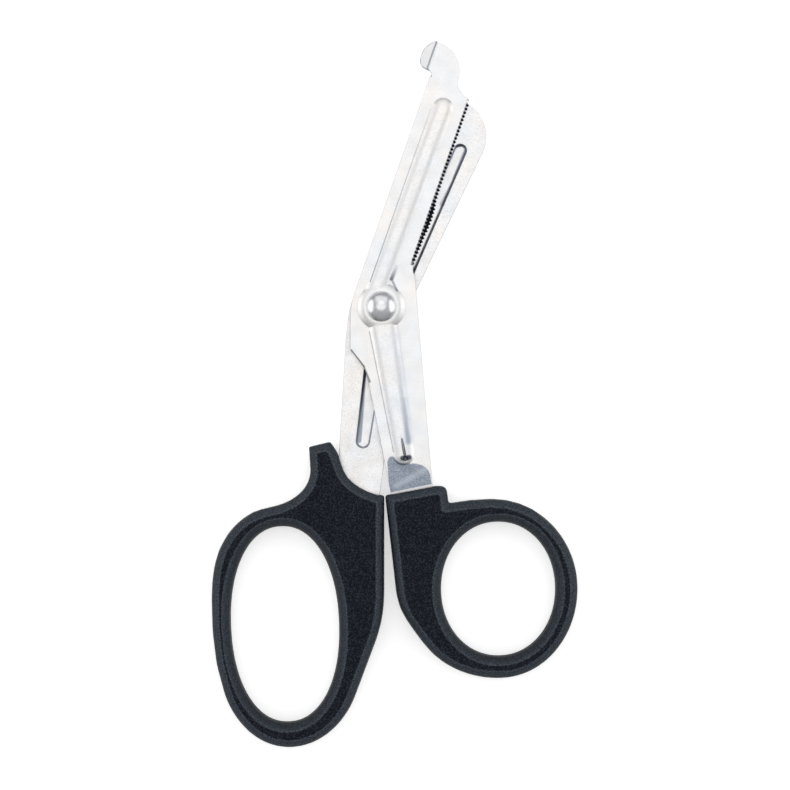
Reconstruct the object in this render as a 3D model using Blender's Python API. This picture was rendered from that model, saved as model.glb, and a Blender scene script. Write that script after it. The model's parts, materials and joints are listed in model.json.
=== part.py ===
# Bandage scissors: two pressed steel blades on one rivet, with a moulded plastic loop handle on each tang.
# Metres, +Z up. The origin is on the pivot's axis, at the height of the surface that the scissors lie on.
# +Y runs towards the jaws. The scissors lie closed, front face up, on the backs of the handles and on the foot.
# Shapes are drawn about the mating plane between the blades, and main() lifts them all by half a handle.
import math

import bmesh
import bpy
from mathutils import Vector

MM = 0.001

# Sheet, clearance and smoothness
SHEET = 1.5 * MM
GAP = 0.3 * MM
ARC_STEP = math.radians(9)
SMOOTH_ANGLE = math.radians(32)
MERGE = 0.002 * MM
OVERLAP = 0.6 * MM
FILLET_SHARE = 0.95

# Rivet and washer
PIN_RADIUS = 2.0 * MM
HEAD_RADIUS = 4.0 * MM
HEAD_HEIGHT = 1.9 * MM
HEAD_STEPS = 8
TAIL_RADIUS = 3.1 * MM
TAIL_HEIGHT = 0.6 * MM
WASHER_RADIUS = 4.1 * MM
WASHER_THICKNESS = 0.5 * MM
TURNED_SEGMENTS = 40

# Pressed ribs and the boss round the rivet
RIB_HEIGHT = 0.9 * MM
RIB_CREST = 0.25 * MM
RIB_FULLNESS = 2.2
RIB_STEPS = 6
RIB_WALL = 1.0 * MM
GROOVE_SHOULDER = 0.8 * MM
GROOVE_FULLNESS = 2.0
GROOVE_STEPS = 4
BOSS_SHOULDER = 2.1 * MM
BOSS_FULLNESS = 1.8
BOSS_RADIUS = 6.3 * MM
BOSS_HEIGHT = 1.0 * MM
SHANK_RIB_RADIUS_TOP = 3.6 * MM
SHANK_RIB_RADIUS_END = 2.9 * MM

# Cutting edges
FRONT_BEVEL = 0.5 * MM
BACK_BEVEL = 0.85 * MM
EDGE_LAND = 0.25 * MM
TOOTH_PITCH = 1.01 * MM
TOOTH_TIP = 0.34 * MM
TOOTH_DEPTH = 0.62 * MM
GULLET = [(0.0, 0.0), (0.13, 0.62), (0.5, 1.0), (0.87, 0.62)]

# Front jaw, along its own line through the pivot
FRONT_JAW_ANGLE = math.radians(70.8)
FRONT_SPINE = 7.85 * MM
FRONT_EDGE = 4.05 * MM
FRONT_EDGE_START = 13.9 * MM
FRONT_EDGE_END = 58.7 * MM
FRONT_CHOIL_LENGTH = 2.1 * MM
FRONT_CHOIL_STEP = 0.6 * MM
FRONT_TIP_CENTRE = 62.4 * MM
FRONT_TIP_RADIUS = 7.9 * MM
FRONT_TIP_FLARE = math.radians(22)
FRONT_RIB_RADIUS = 2.75 * MM
FRONT_RIB_START = (4.0 * MM, -2.75 * MM)
FRONT_RIB_END = (54.3 * MM, -1.8 * MM)

# Foot: a tab at the front tip, bent back out of the sheet until it reaches the plane of the handles' backs
FOOT_WIDTH = 7.9 * MM
FOOT_FOLD = 8.3 * MM
FOOT_BEND = math.radians(63)
FOOT_BEND_RADIUS = 0.15 * MM
FOOT_RELIEF = 0.35 * MM
FOOT_ROOT = 1.75 * MM
FOOT_CUTS = 5

# Back jaw, along its own line through the pivot
BACK_JAW_ANGLE = math.radians(64.3)
BACK_SPINE = 6.45 * MM
BACK_EDGE = 5.5 * MM
BACK_EDGE_START = 13.5 * MM
BACK_LENGTH = 57.9 * MM
BACK_TIP_RADIUS = 9.9 * MM
BACK_CHOIL_STEP = 0.5 * MM
BACK_CHOIL_LENGTH = 2.4 * MM
BACK_RIB_RADIUS = 2.75 * MM
BACK_RIB_START = (4.0 * MM, 2.5 * MM)
BACK_RIB_END = (45.9 * MM, 0.9 * MM)

# Shanks, in the scissors' own frame
FRONT_HIP = 8.1 * MM
FRONT_HIP_BOTTOM = -11.3 * MM
FRONT_SHOULDER = (8.95 * MM, 6.6 * MM)
FRONT_WAIST = (-3.95 * MM, -16.5 * MM)
FRONT_SHANK_INNER = (2.75 * MM, -50.0 * MM)
FRONT_SHANK_OUTER = (13.66 * MM, -50.0 * MM)
FRONT_SHANK_RIB_START = (0.5 * MM, -5.4 * MM)
FRONT_SHANK_RIB_END = (5.75 * MM, -38.6 * MM)
FRONT_TANG_END = (9.0 * MM, -70.0 * MM)
BACK_HIP = 8.2 * MM
BACK_HIP_BOTTOM = -11.3 * MM
BACK_WAIST = (3.95 * MM, -16.5 * MM)
BACK_SHANK_BEND = (-9.3 * MM, -8.0 * MM)
BACK_SHANK_INNER = (-0.5 * MM, -50.0 * MM)
BACK_SHANK_OUTER = (-11.5 * MM, -46.0 * MM)
BACK_SHOULDER = (-8.3 * MM, 0.6 * MM)
BACK_HEEL = (-5.0 * MM, 7.6 * MM)
BACK_SHANK_RIB_START = (-0.6 * MM, -5.4 * MM)
BACK_SHANK_RIB_END = (-4.8 * MM, -35.2 * MM)
BACK_TANG_END = (-5.3 * MM, -70.0 * MM)
HIP_FILLET = 0.9 * MM
WAIST_FILLET = 12.0 * MM
SPINE_FILLET = 20.0 * MM
BACK_SPINE_FILLET = 6.0 * MM
TANG_END_WIDTH = 6.4 * MM
TANG_FILLET = 2.2 * MM
TANG_HOLE_RADIUS = 1.6 * MM
TANG_HOLE_RISE = 6.0 * MM

# Joggle: the set in each shank that brings its tang to the middle of the handle
JOGGLE_START = -40.9 * MM
JOGGLE_LENGTH = 5.8 * MM

# Both handles
HANDLE_THICKNESS = 9.0 * MM
CHAMFER_RUN = 1.7 * MM
CHAMFER_DROP = 1.6 * MM
EDGE_SOFTNESS = 0.35 * MM
HOLE_RUN = 1.8 * MM
HOLE_DROP = 2.4 * MM
STOP_X = 0.75 * MM

# Finger handle, the long loop
FINGER_HOLE = (-25.2 * MM, -83.05 * MM)
FINGER_HOLE_WIDTH = 28.4 * MM
FINGER_HOLE_LENGTH = 51.4 * MM
FINGER_HOLE_LEAN = math.radians(2.3)
FINGER_HOLE_POWER = 2.15
FINGER_RING_SIDE = 5.0 * MM
FINGER_RING_END = 6.55 * MM
FINGER_TOP = -49.5 * MM
FINGER_INNER_END = -75.5 * MM
HORN_WIDTH = 5.5 * MM
HORN_INNER = (-13.4 * MM, -35.4 * MM)
HORN_DROP = 1.3 * MM
HORN_BACK_END = -42.8 * MM
HORN_LEAN = 0.4 * MM
FINGER_HEEL = (-7.2 * MM, -102.8 * MM)
FINGER_CALF = (-1.2 * MM, -86.8 * MM)
FINGER_NECK = (-27.0 * MM, -52.0 * MM)
FINGER_BROW = (-31.5 * MM, -53.1 * MM)
FINGER_CROWN = (-40.3 * MM, -59.7 * MM)
FINGER_SIDE_RISE = 6.4 * MM
FINGER_LOW_SIDE = (-40.9 * MM, -101.7 * MM)
ENTRY_LOW = (-8.6 * MM, -44.9 * MM)
ENTRY_SIDE = (-11.3 * MM, -38.6 * MM)

# Thumb handle, the round loop
THUMB_HOLE = (30.6 * MM, -73.8 * MM)
THUMB_HOLE_WIDTH = 30.0 * MM
THUMB_HOLE_LENGTH = 35.2 * MM
THUMB_HOLE_POWER = 2.05
THUMB_RING = 5.85 * MM
THUMB_TOP = -49.4 * MM
THUMB_INNER_TILT = math.radians(6.5)
THUMB_INNER_END = -75.5 * MM
THUMB_STEP_TOP = -46.95 * MM
THUMB_STEP_X = 17.0 * MM
THUMB_STEP_BOTTOM = -51.5 * MM
THUMB_STEP_SLANT = 0.6 * MM
THUMB_STEP_FILLET = 1.6 * MM
THUMB_CROWN = 1.5 * MM
THUMB_FLAT = 2.9 * MM
THUMB_CALF = (11.0 * MM, -88.0 * MM)

MATING = GAP / 2
OUTER = MATING + SHEET
JOGGLE = MATING + SHEET / 2
BOSS_TOP = OUTER + BOSS_HEIGHT
REST_PLANE = -HANDLE_THICKNESS / 2


def on_axis(angle, along, across):
    """A point measured along and to the right of a line through the pivot."""
    c, s = math.cos(angle), math.sin(angle)
    return (along * c + across * s, along * s - across * c)


def front(along, across):
    return on_axis(FRONT_JAW_ANGLE, along, across)


def back(along, across):
    return on_axis(BACK_JAW_ANGLE, along, across)


def arc(centre, radius, start, end):
    """Points on an arc, ends included; angles in radians."""
    steps = max(2, math.ceil(abs(end - start) / ARC_STEP))
    angles = [start + (end - start) * i / steps for i in range(steps + 1)]
    return [(centre[0] + radius * math.cos(a), centre[1] + radius * math.sin(a)) for a in angles]


def circle(centre, radius):
    return arc(centre, radius, 0, 2 * math.pi)[:-1]


def fillet(before, corner, after, radius):
    """The arc that rounds one corner of an outline."""
    corner = Vector(corner)
    to_before = (Vector(before) - corner).normalized()
    to_after = (Vector(after) - corner).normalized()
    half = to_before.angle(to_after) / 2
    room = min((Vector(before) - corner).length, (Vector(after) - corner).length)
    reach = min(radius / math.tan(half), FILLET_SHARE * room)
    radius = reach * math.tan(half)
    centre = corner + (to_before + to_after).normalized() * radius / math.sin(half)
    first = corner + to_before * reach - centre
    last = corner + to_after * reach - centre
    start = math.atan2(first.y, first.x)
    turn = math.atan2(first.x * last.y - first.y * last.x, first.dot(last))
    return arc(centre, radius, start, start + turn)


def outline(corners):
    """A closed outline from corners, each (point) or (point, fillet radius), or a ready list of points."""
    plain = []
    for corner in corners:
        if isinstance(corner, list):
            plain += [(point, 0.0) for point in corner]
        elif isinstance(corner[0], tuple):
            plain.append(corner)
        else:
            plain.append((corner, 0.0))
    points = []
    for i, (point, radius) in enumerate(plain):
        if radius:
            points += fillet(plain[i - 1][0], point, plain[(i + 1) % len(plain)][0], radius)
        else:
            points.append(point)
    return [p for i, p in enumerate(points) if math.dist(p, points[i - 1]) > 5 * MERGE]


def curve(knots):
    """Points on a smooth path through knots (point, heading in degrees); the last point is left out."""
    points = []
    for (start, heading), (end, arrival) in zip(knots, knots[1:]):
        start, end = Vector(start), Vector(end)
        a, b = math.radians(heading), math.radians(arrival)
        turn = math.remainder(b - a, 2 * math.pi)
        chord = (end - start).length
        if abs(turn) < ARC_STEP / 2:
            points.append(tuple(start))
            continue
        handle = chord / 3 * math.tan(abs(turn) / 4) / (math.sin(abs(turn) / 2)) * 2
        out = start + handle * Vector((math.cos(a), math.sin(a)))
        into = end - handle * Vector((math.cos(b), math.sin(b)))
        steps = max(2, math.ceil(abs(turn) / ARC_STEP))
        for i in range(steps):
            t = i / steps
            points.append(tuple(start * (1 - t) ** 3 + out * 3 * t * (1 - t) ** 2
                                + into * 3 * t * t * (1 - t) + end * t ** 3))
    return points


def superellipse(centre, half_width, half_length, power, lean):
    """A fuller ellipse, anticlockwise, leaning by an angle."""
    steps = math.ceil(2 * math.pi / ARC_STEP)
    points = []
    for i in range(steps):
        a = 2 * math.pi * i / steps
        x = half_width * math.copysign(abs(math.cos(a)) ** (2 / power), math.cos(a))
        y = half_length * math.copysign(abs(math.sin(a)) ** (2 / power), math.sin(a))
        points.append((centre[0] + x * math.cos(lean) - y * math.sin(lean),
                       centre[1] + x * math.sin(lean) + y * math.cos(lean)))
    return points


def capsule(start, start_radius, end, end_radius):
    """The outline round two circles, anticlockwise: the plan of a tapered rib."""
    line = Vector(end) - Vector(start)
    heading = math.atan2(line.y, line.x)
    spread = math.acos((start_radius - end_radius) / line.length)
    return (arc(end, end_radius, heading - spread, heading + spread)
            + arc(start, start_radius, heading + spread, heading - spread + 2 * math.pi))


def crossing(p, d, q, e):
    """Where two lines, each a point and a direction, cross; half way between the points if parallel."""
    slant = d.x * e.y - d.y * e.x
    if abs(slant) < 1e-5:
        return (p + q) / 2
    return p + d * ((q.x - p.x) * e.y - (q.y - p.y) * e.x) / slant


def inset(points, distance):
    """The outline moved inwards, with mitred corners. It keeps its count: edges that vanish shrink to a point."""
    if not distance:
        return list(points)
    count = len(points)
    corners = [Vector(p) for p in points]
    ways = [(corners[(i + 1) % count] - corners[i]).normalized() for i in range(count)]
    moved = [corners[i] + Vector((-ways[i].y, ways[i].x)) * distance for i in range(count)]
    alive = list(range(count))
    while True:
        meets = [crossing(moved[alive[k - 1]], ways[alive[k - 1]], moved[alive[k]], ways[alive[k]])
                 for k in range(len(alive))]
        runs = [(meets[(k + 1) % len(alive)] - meets[k]).dot(ways[alive[k]]) for k in range(len(alive))]
        if min(runs) >= 0:
            break
        alive.pop(runs.index(min(runs)))
    place = {}
    for k, edge in enumerate(alive):
        last = alive[k - 1]
        corner = (last + 1) % count
        while True:
            place[corner] = tuple(meets[k])
            if corner == edge:
                break
            corner = (corner + 1) % count
    return [place[i] for i in range(count)]


def finish(name, bm):
    """An object from a bmesh, with its faces pointing out."""
    bmesh.ops.remove_doubles(bm, verts=bm.verts, dist=MERGE)
    bmesh.ops.dissolve_degenerate(bm, dist=MERGE / 2, edges=bm.edges)
    bmesh.ops.recalc_face_normals(bm, faces=bm.faces)
    mesh = bpy.data.meshes.new(name)
    bm.to_mesh(mesh)
    bm.free()
    obj = bpy.data.objects.new(name, mesh)
    bpy.context.collection.objects.link(obj)
    return obj


def wall(bm, levels):
    """Side faces through loops of equal count, each (points, height). Gives the rings of vertices."""
    rings = [[bm.verts.new((x, y, z)) for x, y in points] for points, z in levels]
    for low, high in zip(rings, rings[1:]):
        for i in range(len(low)):
            j = (i + 1) % len(low)
            bm.faces.new((low[i], low[j], high[j], high[i]))
    return rings


def loft(name, levels):
    """A solid through loops of equal count, closed by a flat face at each end."""
    bm = bmesh.new()
    rings = wall(bm, levels)
    bm.faces.new(reversed(rings[0]))
    bm.faces.new(rings[-1])
    return finish(name, bm)


def slab(name, points, low, high):
    return loft(name, [(points, low), (points, high)])


def turned(name, profile):
    """A solid of revolution about Z from (radius, height) points that start and end on the axis or close up."""
    bm = bmesh.new()
    verts = [bm.verts.new((radius, 0, height)) for radius, height in profile]
    edges = [bm.edges.new(pair) for pair in zip(verts, verts[1:])]
    if profile[0][0] > 0:
        edges.append(bm.edges.new((verts[-1], verts[0])))
    bmesh.ops.spin(bm, geom=verts + edges, axis=(0, 0, 1), cent=(0, 0, 0),
                   angle=2 * math.pi, steps=TURNED_SEGMENTS, use_merge=True)
    return finish(name, bm)


def combine(obj, tool, operation):
    """Joins a tool to an object, or cuts it out, and removes the tool."""
    modifier = obj.modifiers.new(operation, "BOOLEAN")
    modifier.operation = operation
    modifier.solver = "EXACT"
    modifier.object = tool
    graph = bpy.context.evaluated_depsgraph_get()
    mesh = bpy.data.meshes.new_from_object(obj.evaluated_get(graph))
    obj.modifiers.clear()
    obj.data = mesh
    bpy.data.objects.remove(tool)


def reshape(obj, cuts, move):
    """Cuts an object's faces along planes (point, normal), then moves each vertex by a rule."""
    bm = bmesh.new()
    bm.from_mesh(obj.data)
    for point, normal in cuts:
        everything = bm.verts[:] + bm.edges[:] + bm.faces[:]
        bmesh.ops.bisect_plane(bm, geom=everything, dist=MERGE / 2, plane_co=point, plane_no=normal)
    for vert in bm.verts:
        vert.co = move(vert.co)
    bmesh.ops.recalc_face_normals(bm, faces=bm.faces)
    bm.to_mesh(obj.data)
    bm.free()


def joggle(obj):
    """Sets a shank down so that its tang lies on the mid plane."""
    def move(co):
        share = min(max((JOGGLE_START - co.y) / JOGGLE_LENGTH, 0), 1)
        return co - Vector((0, 0, JOGGLE * share))
    ends = [JOGGLE_START, JOGGLE_START - JOGGLE_LENGTH]
    reshape(obj, [((0, y, 0), (0, 1, 0)) for y in ends], move)


def foot_curl():
    """The sheet's middle radius round the foot's bend, and the flat length of the bend."""
    middle = FOOT_BEND_RADIUS + SHEET / 2
    return middle, middle * FOOT_BEND


def foot_length():
    """The flat length of the foot, from its fold, that brings its end to the rest plane."""
    centre = MATING - FOOT_BEND_RADIUS
    drop = centre + FOOT_BEND_RADIUS * math.cos(FOOT_BEND) - REST_PLANE
    return foot_curl()[1] + drop / math.sin(FOOT_BEND)


def bend_foot(obj):
    """Rolls what lies left of the fold line back about an axis under the sheet."""
    middle, curl = foot_curl()
    axis = Vector((*front(1, 0), 0))
    side = Vector((*front(0, 1), 0))
    centre = MATING - FOOT_BEND_RADIUS

    def move(co):
        past = -FOOT_FOLD - co.dot(side)
        if past <= 0 or co.dot(axis) < FRONT_EDGE_END:
            return co
        angle = min(past, curl) / middle
        straight = max(past - curl, 0)
        radius = co.z - centre
        across = -FOOT_FOLD - radius * math.sin(angle) - straight * math.cos(angle)
        height = centre + radius * math.cos(angle) - straight * math.sin(angle)
        return axis * co.dot(axis) + side * across + Vector((0, 0, height))

    cuts = [(side * (-FOOT_FOLD - curl * i / FOOT_CUTS), side) for i in range(FOOT_CUTS + 1)]
    reshape(obj, cuts, move)


def serration():
    """The front cutting edge from the choil to the tip: blunt teeth with round gullets between them."""
    count = round((FRONT_EDGE_END - FRONT_EDGE_START) / TOOTH_PITCH)
    pitch = (FRONT_EDGE_END - FRONT_EDGE_START) / count
    points = [front(FRONT_EDGE_START, FRONT_EDGE)]
    for i in range(count):
        mouth = FRONT_EDGE_START + pitch * i + TOOTH_TIP / 2
        points += [front(mouth + (pitch - TOOTH_TIP) * run, FRONT_EDGE - TOOTH_DEPTH * depth)
                   for run, depth in GULLET]
        points.append(front(mouth + pitch - TOOTH_TIP, FRONT_EDGE))
    points.append(front(FRONT_EDGE_END, FRONT_EDGE))
    return points


def tip_round():
    """The front tip: a flare from the end of the teeth, then a quarter circle centred on the fold line."""
    jaw = math.degrees(FRONT_JAW_ANGLE)
    flare = curve([(front(FRONT_EDGE_END, FRONT_EDGE), jaw + 90 - math.degrees(FRONT_TIP_FLARE)),
                   (front(FRONT_TIP_CENTRE, FRONT_TIP_RADIUS - FOOT_FOLD), jaw)])
    sweep = arc((0, 0), FRONT_TIP_RADIUS, 0, math.pi / 2)
    return flare + [front(FRONT_TIP_CENTRE + y, x - FOOT_FOLD) for x, y in sweep]


def foot_tab():
    """The foot's flat outline, from the top of the fold line round to its bottom."""
    top = FRONT_TIP_CENTRE + FRONT_TIP_RADIUS
    half, length = FOOT_WIDTH / 2, foot_length()
    return [front(top - half + x, -FOOT_FOLD - y * length / half) for x, y in arc((0, 0), half, 0, math.pi)]


def tang(left, right, end):
    """The corners of a tang, from its left side round its end to its right side."""
    half = TANG_END_WIDTH / 2
    return [left,
            ((end[0] - half, end[1]), TANG_FILLET),
            ((end[0] + half, end[1]), TANG_FILLET),
            right]


def front_tang():
    return tang(FRONT_SHANK_INNER, FRONT_SHANK_OUTER, FRONT_TANG_END)


def back_tang():
    return tang(BACK_SHANK_OUTER, BACK_SHANK_INNER, BACK_TANG_END)


def hip_corner(jaw, spine, hip):
    """Where a jaw's spine line meets the upright side of its hip."""
    on_spine = Vector(jaw(0, spine))
    along = Vector(jaw(1, 0))
    return tuple(crossing(on_spine, along, Vector((hip, 0)), Vector((0, 1))))


def front_outline():
    """The flat front blade, anticlockwise from the choil up the cutting edge."""
    foot_end = FRONT_TIP_CENTRE + FRONT_TIP_RADIUS - FOOT_WIDTH
    return outline([
        serration(),
        tip_round(),
        foot_tab(),
        front(foot_end - 2 * FOOT_RELIEF, FOOT_RELIEF - FRONT_SPINE),
        front(foot_end - FOOT_ROOT, -FRONT_SPINE),
        (hip_corner(front, -FRONT_SPINE, -FRONT_HIP), SPINE_FILLET),
        ((-FRONT_HIP, FRONT_HIP_BOTTOM), HIP_FILLET),
        (FRONT_WAIST, WAIST_FILLET),
        *front_tang(),
        (FRONT_SHOULDER, HIP_FILLET),
        front(FRONT_EDGE_START - FRONT_CHOIL_LENGTH, FRONT_EDGE + FRONT_CHOIL_STEP),
    ])


def back_outline():
    """The flat back blade, anticlockwise from the waist up the spine."""
    bend = BACK_LENGTH - BACK_TIP_RADIUS
    tip = arc((0, 0), BACK_TIP_RADIUS, 0, math.pi / 2)
    return outline([
        (BACK_WAIST, WAIST_FILLET),
        ((BACK_HIP, BACK_HIP_BOTTOM), HIP_FILLET),
        (hip_corner(back, BACK_SPINE, BACK_HIP), BACK_SPINE_FILLET),
        [back(bend + y, BACK_SPINE - BACK_TIP_RADIUS + x) for x, y in tip],
        back(BACK_LENGTH, -BACK_EDGE),
        back(BACK_EDGE_START, -BACK_EDGE),
        back(BACK_EDGE_START - BACK_CHOIL_LENGTH, -BACK_EDGE - BACK_CHOIL_STEP),
        (BACK_HEEL, HIP_FILLET),
        (BACK_SHOULDER, SPINE_FILLET),
        (BACK_SHANK_BEND, SPINE_FILLET),
        *back_tang(),
    ])


def pressed(name, plan, base, height, shoulder, fullness, steps):
    """A raised form that stands on a base height and reaches below it. Its sides are steepest at the foot."""
    levels = [(plan, base - OVERLAP)]
    for i in range(steps + 1):
        run = 1 - math.cos(math.pi / 2 * i / steps)
        levels.append((inset(plan, shoulder * run), base + height * (1 - (1 - run) ** fullness)))
    return loft(name, levels)


def edge_wedge(jaw, start, end, edge, width, outwards):
    """The stock ground off the outer face along a cutting edge; outwards is +1 or -1 across the jaw."""
    section = [(-width, OUTER), (width, 2 * (MATING + EDGE_LAND) - OUTER), (width, OUTER + SHEET),
               (-width, OUTER + SHEET)]
    bm = bmesh.new()
    ends = [[bm.verts.new((*jaw(along, edge + across * outwards), z)) for across, z in section]
            for along in (start, end)]
    bm.faces.new(ends[0])
    bm.faces.new(reversed(ends[1]))
    for i in range(len(section)):
        j = (i + 1) % len(section)
        bm.faces.new((ends[0][i], ends[1][i], ends[1][j], ends[0][j]))
    return finish("edge_wedge", bm)


def blade(name, plan, ribs, wedge, tang_hole):
    """A pressed blade, flat on its mating face, before its shank and foot are bent."""
    obj = slab(name, plan, MATING, OUTER)
    forms = [(circle((0, 0), BOSS_RADIUS), BOSS_HEIGHT, BOSS_SHOULDER, BOSS_FULLNESS)]
    forms += [(capsule(*rib), RIB_HEIGHT, min(rib[1], rib[3]) - RIB_CREST, RIB_FULLNESS) for rib in ribs]
    for form, height, shoulder, fullness in forms:
        combine(obj, pressed("rib", form, OUTER, height, shoulder, fullness, RIB_STEPS), "UNION")
    for form, height, _, _ in forms:
        groove = pressed("groove", inset(form, RIB_WALL), MATING, height, GROOVE_SHOULDER, GROOVE_FULLNESS,
                         GROOVE_STEPS)
        combine(obj, groove, "DIFFERENCE")
    combine(obj, wedge, "DIFFERENCE")
    for hole in (circle((0, 0), PIN_RADIUS + GAP), circle(tang_hole, TANG_HOLE_RADIUS)):
        combine(obj, slab("hole", hole, MATING - SHEET, BOSS_TOP + SHEET), "DIFFERENCE")
    joggle(obj)
    return obj


def turn_over(obj):
    """Mirrors a mesh in the mating plane, for the blade and handle at the back."""
    for vert in obj.data.vertices:
        vert.co.z = -vert.co.z
    obj.data.flip_normals()


def tang_hole_place(end):
    return (end[0], end[1] + TANG_HOLE_RISE)


def front_blade():
    ribs = [(front(*FRONT_RIB_START), FRONT_RIB_RADIUS, front(*FRONT_RIB_END), FRONT_RIB_RADIUS),
            (FRONT_SHANK_RIB_START, SHANK_RIB_RADIUS_TOP, FRONT_SHANK_RIB_END, SHANK_RIB_RADIUS_END)]
    wedge = edge_wedge(front, FRONT_EDGE_START - TOOTH_PITCH, FRONT_EDGE_END + TOOTH_PITCH, FRONT_EDGE,
                       FRONT_BEVEL, 1)
    obj = blade("front_blade", front_outline(), ribs, wedge, tang_hole_place(FRONT_TANG_END))
    bend_foot(obj)
    return obj


def back_blade():
    ribs = [(back(*BACK_RIB_START), BACK_RIB_RADIUS, back(*BACK_RIB_END), BACK_RIB_RADIUS),
            (BACK_SHANK_RIB_START, SHANK_RIB_RADIUS_TOP, BACK_SHANK_RIB_END, SHANK_RIB_RADIUS_END)]
    wedge = edge_wedge(back, BACK_EDGE_START - TOOTH_PITCH, BACK_LENGTH + TOOTH_PITCH, -BACK_EDGE, BACK_BEVEL, -1)
    obj = blade("back_blade", back_outline(), ribs, wedge, tang_hole_place(BACK_TANG_END))
    turn_over(obj)
    return obj


def pocket(plan, tang_end, over):
    """The cavity of a handle round its tang, with the peg through the tang's hole left standing."""
    grown = inset(outline(plan), -GAP)
    obj = slab("pocket", grown, MATING - GAP, OUTER + GAP)
    peg = circle(tang_hole_place(tang_end), TANG_HOLE_RADIUS - GAP)
    combine(obj, slab("peg", peg, MATING - SHEET, OUTER + SHEET), "DIFFERENCE")
    joggle(obj)
    if over:
        turn_over(obj)
    return obj


def finger_outline():
    """The outer side of the long loop, anticlockwise from the bottom of the ring."""
    left = FINGER_HOLE[0] - FINGER_HOLE_WIDTH / 2 - FINGER_RING_SIDE
    low = FINGER_HOLE[1] - FINGER_HOLE_LENGTH / 2 - FINGER_RING_END
    bottom = (FINGER_HOLE[0] + FINGER_HOLE_LENGTH / 2 * math.sin(FINGER_HOLE_LEAN), low)
    horn_outer = (HORN_INNER[0] - HORN_WIDTH, HORN_INNER[1] - HORN_DROP)
    side = (left, FINGER_HOLE[1] + FINGER_SIDE_RISE)
    ring = curve([(bottom, 0), (FINGER_HEEL, 67), (FINGER_CALF, 70.5), ((STOP_X, FINGER_INNER_END), 90)])
    entry = curve([((STOP_X, FINGER_TOP), 172), (ENTRY_LOW, 133), (ENTRY_SIDE, 112), (HORN_INNER, 122)])
    crown = curve([((horn_outer[0] + HORN_LEAN, HORN_BACK_END), 270), (FINGER_NECK, 196),
                   (FINGER_BROW, 195), (FINGER_CROWN, 234), (side, 270), (FINGER_LOW_SIDE, 290), (bottom, 360)])
    return outline([ring, (STOP_X, FINGER_INNER_END), entry, HORN_INNER, horn_outer, crown])


def thumb_outline():
    """The outer side of the round loop, anticlockwise from the bottom of the ring."""
    half_width = THUMB_HOLE_WIDTH / 2 + THUMB_RING
    half_length = THUMB_HOLE_LENGTH / 2 + THUMB_RING
    x, y = THUMB_HOLE
    inner_x = STOP_X + GAP
    inner_end = (inner_x + (THUMB_TOP - THUMB_INNER_END) * math.tan(THUMB_INNER_TILT), THUMB_INNER_END)
    step_foot = (THUMB_STEP_X + THUMB_STEP_SLANT, THUMB_STEP_BOTTOM)
    ring = curve([((x, y - half_length), 0), ((x + half_width, y), 90),
                  ((x - THUMB_CROWN, y + half_length), 180), (step_foot, 190)])
    inner = curve([(inner_end, 278), (THUMB_CALF, 306), ((x, y - half_length), 360)])
    return outline([
        ring,
        step_foot,
        ((THUMB_STEP_X, THUMB_STEP_TOP), THUMB_STEP_FILLET),
        (THUMB_STEP_X - THUMB_FLAT, THUMB_STEP_TOP),
        (inner_x, THUMB_TOP),
        inner,
    ])


def soft_chamfer(run, drop):
    """The rim of a handle as (inset, height) pairs, from the back face to the front face."""
    half = HANDLE_THICKNESS / 2
    slope = math.hypot(run, drop)
    along = (run / slope * EDGE_SOFTNESS, drop / slope * EDGE_SOFTNESS)
    upper = [(0, half - drop - EDGE_SOFTNESS), (along[0], half - drop + along[1]),
             (run - along[0], half - along[1]), (run + EDGE_SOFTNESS, half)]
    return [(inward, -height) for inward, height in reversed(upper)] + upper


def handle(name, plan, hole):
    """A loop handle: the outer wall, the hole's wall, and flat faces between their rims."""
    bm = bmesh.new()
    wall(bm, [(inset(plan, inward), z) for inward, z in soft_chamfer(CHAMFER_RUN, CHAMFER_DROP)])
    wall(bm, [(inset(hole, -outward), z) for outward, z in soft_chamfer(HOLE_RUN, HOLE_DROP)])
    bmesh.ops.remove_doubles(bm, verts=bm.verts, dist=MERGE)
    for side in (-1, 1):
        rim = [edge for edge in bm.edges if edge.is_boundary and edge.verts[0].co.z * side > 0]
        bmesh.ops.triangle_fill(bm, use_beauty=True, use_dissolve=False, edges=rim)
    return finish(name, bm)


def finger_handle():
    hole = superellipse(FINGER_HOLE, FINGER_HOLE_WIDTH / 2, FINGER_HOLE_LENGTH / 2, FINGER_HOLE_POWER,
                        FINGER_HOLE_LEAN)
    obj = handle("finger_handle", finger_outline(), hole)
    plan = [BACK_WAIST, BACK_SHANK_BEND, *back_tang()]
    combine(obj, pocket(plan, BACK_TANG_END, True), "DIFFERENCE")
    return obj


def thumb_handle():
    hole = superellipse(THUMB_HOLE, THUMB_HOLE_WIDTH / 2, THUMB_HOLE_LENGTH / 2, THUMB_HOLE_POWER, 0)
    obj = handle("thumb_handle", thumb_outline(), hole)
    plan = [FRONT_WAIST, *front_tang(), FRONT_SHOULDER]
    combine(obj, pocket(plan, FRONT_TANG_END, False), "DIFFERENCE")
    return obj


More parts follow.
